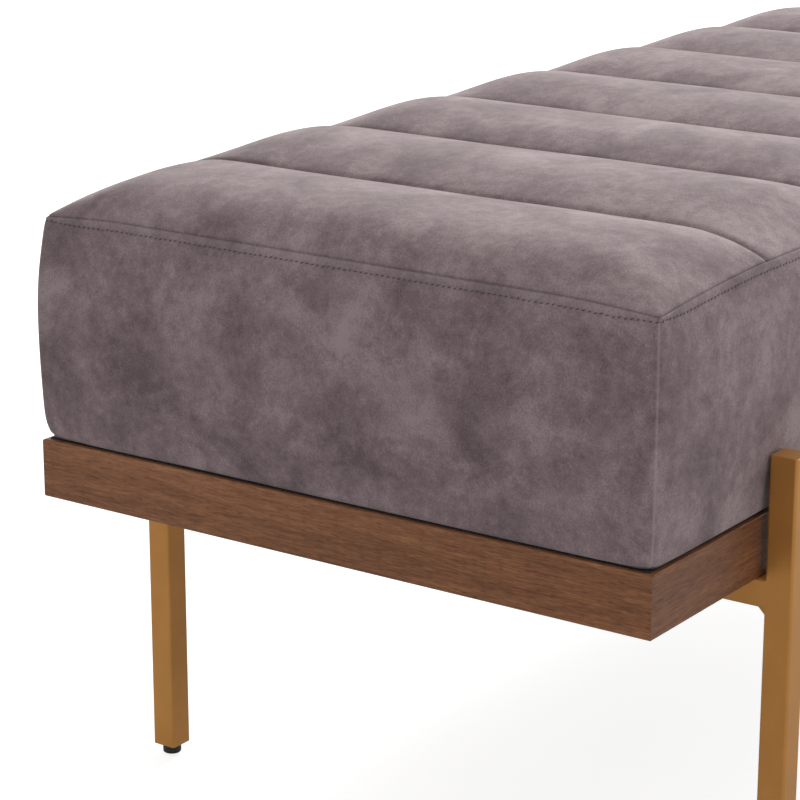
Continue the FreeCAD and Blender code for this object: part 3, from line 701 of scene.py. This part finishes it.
def shaped_places():
    """The points of the block as the sewn cushion has them, before the cloth swells."""
    above_base = smooth((z_flat - CUSHION_LOW) / BASE_REACH)
    below_rim = smooth((SEAM_HEIGHT - z_flat) / RIM_REACH)
    radius = CORNER_RADIUS + (CORNER_RADIUS_BASE - CORNER_RADIUS) * (1 - above_base)
    radius = radius + (CORNER_RADIUS_RIM - CORNER_RADIUS) * (1 - below_rim)
    by_end = np.clip(1 - end_gap / radius, 0, 1)
    by_side = np.clip(1 - side_gap / radius, 0, 1)
    x_in = radius * by_end * (1 - np.sqrt(1 - by_side * by_side / 2))
    y_in = radius * by_side * (1 - np.sqrt(1 - by_end * by_end / 2))
    x_in = x_in + side_lean(END_TOP_PULL) * np.clip(1 - end_gap / LEAN_REACH, 0, 1)
    y_in = y_in + side_lean(SIDE_TOP_PULL) * np.clip(1 - side_gap / LEAN_REACH, 0, 1)
    rim = corner_height + END_RISE * eased(side_gap / END_RISE_REACH)
    rim = rim + SIDE_RISE * eased(end_gap / SIDE_RISE_REACH)
    end_roll = END_ROLL * (1 + END_ROLL_SPREAD * np.exp(-(side_gap / END_ROLL_SPREAD_REACH) ** 2))
    end_drop = (1 - np.clip(end_gap / end_roll, 0, 1)) ** END_ROLL_POWER
    side_drop = (1 - np.clip(side_gap / SIDE_ROLL, 0, 1)) ** SIDE_ROLL_POWER
    rise_share = joint_rise(end_drop, side_drop)
    crown = SEAM_DEPTH * (channel_swell() * smooth(side_gap / CROWN_REACH) - 1)
    seat = CREST_HEIGHT + CREST_LIFT + crown - end_tilt()
    z_top = rim + (seat - rim) * rise_share
    from_corner = np.hypot(end_gap, side_gap) / (2 * CORNER_RADIUS_BASE)
    lift = BASE_CORNER_LIFT * np.exp(-from_corner ** 2) * (1 - above_base)
    z_side = CUSHION_LOW + height_share * (rim - CUSHION_LOW) + lift + corner_pinch()
    z = np.where(on_top, z_top, z_side)
    return np.stack([x_flat - np.sign(x_flat) * x_in, y_flat - np.sign(y_flat) * y_in, z], axis=1)


start_places = shaped_places()
mesh.vertices.foreach_set("co", start_places.ravel())
mesh.update()
shaped_low, shaped_high = start_places.min(axis=0) / MM, start_places.max(axis=0) / MM
print("shaped: from", np.round(shaped_low, 1), "to", np.round(shaped_high, 1))

# %% [markdown]
# ## Blow it up as cloth
# Padding presses the cloth outwards, and the seams hold it. A cloth simulation does just that: the rows
# of points on the seams, the corners and the base are pinned, the band under the top seam is nearly so,
# and a little pressure makes the panels between them bulge. How far a point may move is capped softly
# and fades to nothing at the base. The result is written back into the mesh, so no simulation stays on
# the piece.

# %% Cloth
PRESSURE = 4.0
LAST_FRAME = 20
MOST_SWELL = 2.5 * MM
BASE_HOLD = 45 * MM
BAND_PIN = 0.9
STRETCH_STIFFNESS = 40
SHEAR_STIFFNESS = 15
BENDING_STIFFNESS = 2
seam_gap = np.abs(x_flat[:, None] - np.array(seams)[None, :]).min(axis=1)
on_channel_seam = on_top & (seam_gap < TOUCHING)
on_rim = on_top & ((end_gap < TOUCHING) | (side_gap < TOUCHING))
on_base = z_flat < CUSHION_LOW + TOUCHING
on_corner = (end_gap < TOUCHING) & (side_gap < TOUCHING)
in_band = (~on_top) & (z_flat > SEAM_HEIGHT - STITCH_DROP - TOUCHING)


def swollen(mesh):
    """The places of the mesh's points after the padding has pressed the cloth out between its seams."""
    trial = bpy.data.objects.new("cloth_trial", mesh.copy())
    scene.collection.objects.link(trial)
    held = trial.vertex_groups.new(name="held")
    fixed = on_channel_seam | on_rim | on_base | on_corner
    held.add(np.where(fixed)[0].tolist(), 1.0, "REPLACE")
    held.add(np.where(in_band & ~fixed)[0].tolist(), BAND_PIN, "REPLACE")
    cloth = trial.modifiers.new("padding", "CLOTH")
    cloth.settings.vertex_group_mass = "held"
    cloth.settings.use_pressure = True
    cloth.settings.uniform_pressure_force = PRESSURE
    cloth.settings.effector_weights.gravity = 0
    cloth.settings.tension_stiffness = STRETCH_STIFFNESS
    cloth.settings.compression_stiffness = STRETCH_STIFFNESS
    cloth.settings.shear_stiffness = SHEAR_STIFFNESS
    cloth.settings.bending_stiffness = BENDING_STIFFNESS
    cloth.collision_settings.use_collision = False
    for step in range(1, LAST_FRAME + 1):
        scene.frame_set(step)
    graph = bpy.context.evaluated_depsgraph_get()
    settled = trial.evaluated_get(graph).data
    places = np.array([vertex.co for vertex in settled.vertices])
    scene.frame_set(1)
    bpy.data.objects.remove(trial)
    return places


held_share = smooth((z_flat - CUSHION_LOW) / BASE_HOLD)
moved = (swollen(mesh) - start_places) * held_share[:, None]
distance = np.linalg.norm(moved, axis=1)
share = MOST_SWELL * np.tanh(distance / MOST_SWELL) / np.maximum(distance, NEVER_ZERO)
cushion_places = start_places + moved * share[:, None]
kept = (distance * share).max()
print("cloth: moved up to", round(distance.max() / MM, 1), "mm, kept", round(kept / MM, 1), "mm")

# %% [markdown]
# ## Seams
# Sewing comes after the padding. Along the top edge the top panel and the side panels meet in a sharp
# crease. Below it the seam allowance lies under the cloth, so a band a few millimetres wide stands
# slightly proud, and a row of topstitching draws in its lower edge. The channel seams are plain creases.
# At each upright corner the seam turns the cloth so tightly that it stands out as a fine ridge. The same
# distances fill the attributes that paint shade and a highlight onto the suede.

# %% Sew the seams
RIM_CREASE = 1.1 * MM
RIM_CREASE_WIDTH = 0.7 * MM
BAND_LIFT = 0.3 * MM
STITCH_CREASE = 0.45 * MM
STITCH_CREASE_WIDTH = 0.8 * MM
CORNER_RIDGE = 0.45 * MM
CORNER_RIDGE_WIDTH = 0.7 * MM
CHANNEL_CREASE = 2.6 * MM
CHANNEL_CREASE_WIDTH = 2.2 * MM
CHANNEL_END_SHARE = 0.35
CHANNEL_END_REACH = 30 * MM
UNEVEN = 0.7 * MM
UNEVEN_PITCH = 9.0
UNEVEN_REACH = 12 * MM

mesh.vertices.foreach_set("co", cushion_places.ravel())
mesh.update()
normals = np.zeros(len(mesh.vertices) * 3, np.float32)
mesh.vertices.foreach_get("normal", normals)
normals = normals.reshape(-1, 3).astype(float)
drop = SEAM_HEIGHT - z_flat
rim_gap = np.where(on_top, np.minimum(end_gap, side_gap), drop)
corner_gap = np.where(on_top, 1.0, np.maximum(end_gap, side_gap))
inner_share = smooth(np.minimum(end_gap, side_gap) / CHANNEL_END_REACH)

outward = np.zeros(len(mesh.vertices))
outward -= RIM_CREASE * np.exp(-(rim_gap / RIM_CREASE_WIDTH) ** 2)
outward += np.where(on_top, 0, BAND_LIFT * np.exp(-((drop - STITCH_DROP / 2) / (STITCH_DROP / 3)) ** 2))
outward -= np.where(on_top, 0, STITCH_CREASE * np.exp(-((drop - STITCH_DROP) / STITCH_CREASE_WIDTH) ** 2))
outward += np.where(on_base, 0, CORNER_RIDGE * np.exp(-(corner_gap / CORNER_RIDGE_WIDTH) ** 2))
channel_depth = CHANNEL_CREASE * (CHANNEL_END_SHARE + (1 - CHANNEL_END_SHARE) * inner_share)
outward -= np.where(on_top, channel_depth * np.exp(-(seam_gap / CHANNEL_CREASE_WIDTH) ** 2), 0)
waves = np.array([noise.noise(Vector(place) * UNEVEN_PITCH) for place in cushion_places])
outward += np.where(on_base, 0, UNEVEN * waves * smooth(rim_gap / UNEVEN_REACH))
cushion_places = cushion_places + normals * outward[:, None]
mesh.vertices.foreach_set("co", cushion_places.ravel())
print("seams: deepest", round(-outward.min() / MM, 1), "mm, band", round(outward.max() / MM, 1), "mm proud")

# %% Paint shade and a highlight at the seams
# How dark shade is painted into the top seam, the channel seams, the stitch row, the top of each upright
# corner and the base.
RIM_SHADE = 0.42
CHANNEL_SHADE = 0.6
CHANNEL_SHADE_WIDTH = 1.0 * MM
STITCH_SHADE = 0.15
JUNCTION_SHADE = 0.75
JUNCTION_WIDTH = 1.5 * MM
JUNCTION_HEIGHT = 4 * MM
BASE_SHADE = 0.7
# How strong the painted highlight is along the upright corners and on the band under the top seam.
CORNER_HIGHLIGHT = 0.34
WELT_HIGHLIGHT = 0.10

# Painted shade: darkest in the depth of the top seam and the channel seams, partly the darker seam itself,
# fainter along the stitch row, and strong at the top of each upright corner and along the base, where the
# cushion meets the wood.
crease = RIM_SHADE * np.exp(-(rim_gap / RIM_CREASE_WIDTH) ** 2)
crease = np.maximum(crease, np.where(on_top, CHANNEL_SHADE * np.exp(-(seam_gap / CHANNEL_SHADE_WIDTH) ** 2), 0))
stitch_row = np.exp(-((drop - STITCH_DROP) / STITCH_CREASE_WIDTH) ** 2)
crease = np.maximum(crease, np.where(on_top, 0, STITCH_SHADE * stitch_row))
junction_shade = np.exp(-(corner_gap / JUNCTION_WIDTH) ** 2 - (drop / JUNCTION_HEIGHT) ** 2)
crease = np.maximum(crease, np.where(on_top, 0, JUNCTION_SHADE * junction_shade))
crease = np.maximum(crease, np.where(on_base, BASE_SHADE, 0))
# Painted highlight along each upright corner ridge and on the raised band under the top seam, which faces the
# light a little.
painted_highlight = CORNER_HIGHLIGHT * np.exp(-(corner_gap / CORNER_RIDGE_WIDTH) ** 2)
painted_highlight = np.where(on_top | on_base | (drop < STITCH_DROP), 0, painted_highlight)
in_welt = (~on_top) & (drop > RIM_CREASE_WIDTH / 2) & (drop < STITCH_DROP - RIM_CREASE_WIDTH / 2)
painted_highlight = np.maximum(painted_highlight, np.where(in_welt, WELT_HIGHLIGHT, 0))
for name, values in (("crease", crease), ("painted_highlight", painted_highlight)):
    attribute = mesh.attributes.new(name, "FLOAT", "POINT")
    attribute.data.foreach_set("value", values.astype(np.float32))
mesh.update()
print("seam colours: crease up to", round(crease.max(), 2), "and rubbed up to", round(painted_highlight.max(), 2))

# %% [markdown]
# ## The underside
# The cover is pulled round the edge of the plywood deck and stapled under it, so the cushion isn't a
# solid lump: the deck sits in a pocket. The pocket is made by extruding the one face underneath four
# times, first in to the edge of the turned-under cloth, then up, then out again to the deck's edge, and
# up to the foam. The last face is cut into strips, because one face with hundreds of corners is slow to
# smooth.

# %% Pocket for the deck
FLANGE = 30 * MM
CLOTH_THICKNESS = 1.3 * MM
CLEAR = 0.3 * MM
STRIP_ROWS = 6
SHARP = 1.0
HALF_SHARP = 0.6
deck_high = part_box("seat_deck")[1]


def extrude_to(work, face, half_size, height):
    """Extrudes a level face to a new height and a new half length and half width. Gives the new face."""
    result = bmesh.ops.extrude_face_region(work, geom=[face])
    bmesh.ops.delete(work, geom=[face], context="FACES_ONLY")
    new_face = next(item for item in result["geom"] if isinstance(item, bmesh.types.BMFace))
    reach = [max(abs(vertex.co[axis]) for vertex in new_face.verts) for axis in (0, 1)]
    bmesh.ops.scale(work, vec=(half_size[0] / reach[0], half_size[1] / reach[1], 1), verts=new_face.verts)
    for vertex in new_face.verts:
        vertex.co.z = height
    return new_face


work = bmesh.new()
work.from_mesh(mesh)
creases = work.edges.layers.float.new("crease_edge")
underside = min(work.faces, key=lambda face: face.calc_center_median().z)
outer_edges = list(underside.edges)
flange_half = (deck_high.x - FLANGE, deck_high.y - FLANGE)
pocket_half = (deck_high.x + CLEAR, deck_high.y + CLEAR)
level = underside
for half_size, height in ((flange_half, CUSHION_LOW), (flange_half, CUSHION_LOW + CLOTH_THICKNESS),
                          (pocket_half, CUSHION_LOW + CLOTH_THICKNESS), (pocket_half, deck_high.z + CLEAR)):
    level = extrude_to(work, level, half_size, height)
    for edge in level.edges:
        edge[creases] = SHARP
for edge in outer_edges:
    if edge.is_valid:
        edge[creases] = HALF_SHARP
strips = [level]
inner_cuts = [x for x in cuts[0] if abs(x) < flange_half[0]]
for x in inner_cuts[::STRIP_ROWS]:
    around = list(dict.fromkeys(item for face in strips for item in (*face.verts, *face.edges, face)))
    place = (x * pocket_half[0] / HALF_LENGTH, 0, 0)
    result = bmesh.ops.bisect_plane(work, geom=around, plane_co=place, plane_no=(1, 0, 0), dist=TOUCHING)
    strips = [item for item in result["geom"] if isinstance(item, bmesh.types.BMFace)]
bmesh.ops.recalc_face_normals(work, faces=work.faces)
work.to_mesh(mesh)
work.free()
print("pocket:", len(mesh.polygons), "faces in all")

# %% Finish the cushion
for polygon in mesh.polygons:
    polygon.use_smooth = True
cushion = bpy.data.objects.new("seat_cushion", mesh)
scene.collection.objects.link(cushion)
rounding = cushion.modifiers.new("rounding", "SUBSURF")
rounding.levels = 1
rounding.render_levels = 1
cushion.data.materials.append(suede)
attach(cushion, "bench")
pads = [f"channel_pad_{number}" for number in range(1, CHANNELS + 1)]
panels = [f"{side}_boxing" for side in ("front", "right", "rear", "left")]
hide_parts("top_cover", "foam_core", *pads, *panels)
print("cushion: stands for", 2 + len(pads) + len(panels), "CAD pieces")

# %% [markdown]
# ## Topstitching
# A row of dark stitches runs round the cushion a few millimetres below the top seam. Each stitch is a
# short piece of thread that rises out of one hole and goes down into the next. One stitch is modelled
# from a six-sided rod, bent at its ends, and copied along the row of points that the block has there, at
# an even pitch. A sewn row is never quite regular, so each stitch is turned, stretched and shifted by a
# small amount. The noise for this has a fixed seed, because without one it changes with the time of day.

# %% One stitch
STITCH_PITCH = 4.2 * MM
STITCH_LENGTH = 2.7 * MM
THREAD_RADIUS = 0.30 * MM
END_DIP = 0.5 * MM
THREAD_SIDES = 6
BEND_CUTS = (-0.3, 0, 0.3)
BEND_POWER = 4


def one_stitch():
    """A short bent rod along X, its ends lower than its middle."""
    rod = bmesh.new()
    bmesh.ops.create_cone(rod, cap_ends=True, segments=THREAD_SIDES, radius1=THREAD_RADIUS,
                          radius2=THREAD_RADIUS, depth=STITCH_LENGTH)
    bmesh.ops.rotate(rod, cent=(0, 0, 0), matrix=Matrix.Rotation(math.pi / 2, 3, "Y"), verts=rod.verts)
    for share in BEND_CUTS:
        everything = rod.verts[:] + rod.edges[:] + rod.faces[:]
        place = (share * STITCH_LENGTH, 0, 0)
        bmesh.ops.bisect_plane(rod, geom=everything, plane_co=place, plane_no=(1, 0, 0))
    for vertex in rod.verts:
        vertex.co.z -= END_DIP * (2 * vertex.co.x / STITCH_LENGTH) ** BEND_POWER
    template = bpy.data.meshes.new("one_stitch")
    rod.to_mesh(template)
    rod.free()
    return template


template = one_stitch()
print("one stitch:", len(template.polygons), "faces")

# %% Places of the stitches
STITCH_SLANT = math.radians(30)
SLANT_CHANGE = math.radians(25)
LENGTH_CHANGE = 0.35
SIDE_STEP = 0.6 * MM
PROUD_SHARE = 0.4
NOISE_SEED = 7
NOISE_STEP = 1.37
NOISE_ROW = (0.5, 0.5)


def stitch_line():
    """The points of the stitch row in order round the cushion."""
    row = np.where((~on_top) & (np.abs(drop - STITCH_DROP) < TOUCHING))[0]
    around = np.arctan2(y_flat[row] / HALF_WIDTH, x_flat[row] / HALF_LENGTH)
    return cushion_places[row[np.argsort(around)]]


def stitch_places():
    """A matrix for each stitch: X along the row, Z out of the cloth."""
    line = stitch_line()
    closed = np.vstack([line, line[:1]])
    lengths = np.concatenate([[0], np.cumsum(np.linalg.norm(np.diff(closed, axis=0), axis=1))])
    count = round(lengths[-1] / STITCH_PITCH)
    graph = bpy.context.evaluated_depsgraph_get()
    surface = BVHTree.FromObject(cushion, graph)
    matrices = []
    for index in range(count):
        middle = (index + 0.5) / count * lengths[-1]
        ends = [middle - STITCH_LENGTH / 2, middle + STITCH_LENGTH / 2]
        points = [[np.interp(end, lengths, closed[:, axis]) for axis in range(3)] for end in ends]
        first, last = Vector(points[0]), Vector(points[1])
        spot, normal = surface.find_nearest((first + last) / 2)[:2]
        along = (last - first).normalized()
        outward = (normal - along * normal.dot(along)).normalized()
        turn, stretch, shift = noise.noise_vector((index * NOISE_STEP, *NOISE_ROW))
        slant = Matrix.Rotation(STITCH_SLANT + SLANT_CHANGE * turn, 4, "Z")
        length = Matrix.Scale(1 + LENGTH_CHANGE * stretch, 4, (1, 0, 0))
        matrix = Matrix((along, outward.cross(along), outward)).transposed().to_4x4() @ slant @ length
        step = SIDE_STEP * shift
        matrix.translation = spot + outward * THREAD_RADIUS * PROUD_SHARE + outward.cross(along) * step
        matrices.append(matrix)
    return matrices


noise.seed_set(NOISE_SEED)
places = stitch_places()
print("stitches:", len(places))

# %% Sew the row
THREAD_DARK = (0.045, 0.033, 0.035)
THREAD_LIGHT = (0.075, 0.057, 0.058)
THREAD_STOPS = (0.35, 0.65)


def thread_finish():
    """A dull dark thread."""
    finish, tree, shader, place = start_finish("thread", 0.75, Specular_IOR_Level=0.3)
    fibre = cloud(tree, place, scale=2500, detail=2)
    colour = band(tree, fibre, THREAD_STOPS, (THREAD_DARK, THREAD_LIGHT))
    tree.links.new(colour, shader.inputs["Base Color"])
    bump(tree, shader, fibre, strength=0.4, distance=0.1 * MM)
    return finish


stitches = bmesh.new()
for matrix in places:
    stitch = template.copy()
    stitch.transform(matrix)
    stitches.from_mesh(stitch)
    bpy.data.meshes.remove(stitch)
bpy.data.meshes.remove(template)
thread_mesh = bpy.data.meshes.new("topstitching")
stitches.to_mesh(thread_mesh)
stitches.free()
for polygon in thread_mesh.polygons:
    polygon.use_smooth = True
topstitching = bpy.data.objects.new("topstitching", thread_mesh)
scene.collection.objects.link(topstitching)
topstitching.data.materials.append(thread_finish())
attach(topstitching, "bench")
print("topstitching:", len(places), "stitches,", len(thread_mesh.polygons), "faces")

# %% [markdown]
# ## Filled welds
# Each crossbar ends square against the rounded edges of its posts. In the workshop that small hollow is
# filled by the weld, ground flush and painted over. The fill is a thin upright prism: a corner with one
# hollow side that follows the round of the post. It is drawn as a few points, extruded, and placed at
# both edges of all four joints.

# %% Weld fills
bar_low, bar_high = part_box("left_crossbar")
TUBE = bar_high.x - bar_low.x
TUBE_ROUND = 2 * MM
ROUND_STEPS = 4
FILL_MARGIN = 0.5 * MM


def add_fill(work, x, x_sign, y_sign):
    """One upright fill at the edge of a crossbar's end; the signs say which way it faces."""
    y = y_sign * bar_high.y
    bottom = bar_low.z + FILL_MARGIN
    outline = [(x, y)]
    for step in range(ROUND_STEPS + 1):
        angle = math.pi / 2 * step / ROUND_STEPS
        inward = x_sign * TUBE_ROUND * (1 - math.cos(angle))
        along = y_sign * TUBE_ROUND * (1 - math.sin(angle))
        outline.append((x - inward, y + along))
    corners = [work.verts.new((*place, bottom)) for place in outline]
    face = work.faces.new(corners)
    raised = bmesh.ops.extrude_face_region(work, geom=[face])["geom"]
    rising = [item for item in raised if isinstance(item, bmesh.types.BMVert)]
    bmesh.ops.translate(work, vec=(0, 0, TUBE - 2 * FILL_MARGIN), verts=rising)


fills = bmesh.new()
for name in ("left_crossbar", "right_crossbar"):
    low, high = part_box(name)
    for y_sign in (-1, 1):
        add_fill(fills, low.x, -1, y_sign)
        add_fill(fills, high.x, 1, y_sign)
bmesh.ops.recalc_face_normals(fills, faces=fills.faces)
fill_mesh = bpy.data.meshes.new("weld_fills")
fills.to_mesh(fill_mesh)
fills.free()
weld_fills = bpy.data.objects.new("weld_fills", fill_mesh)
scene.collection.objects.link(weld_fills)
weld_fills.data.materials.append(brass)
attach(weld_fills, "bench")
print("weld fills:", len(fill_mesh.polygons), "faces")
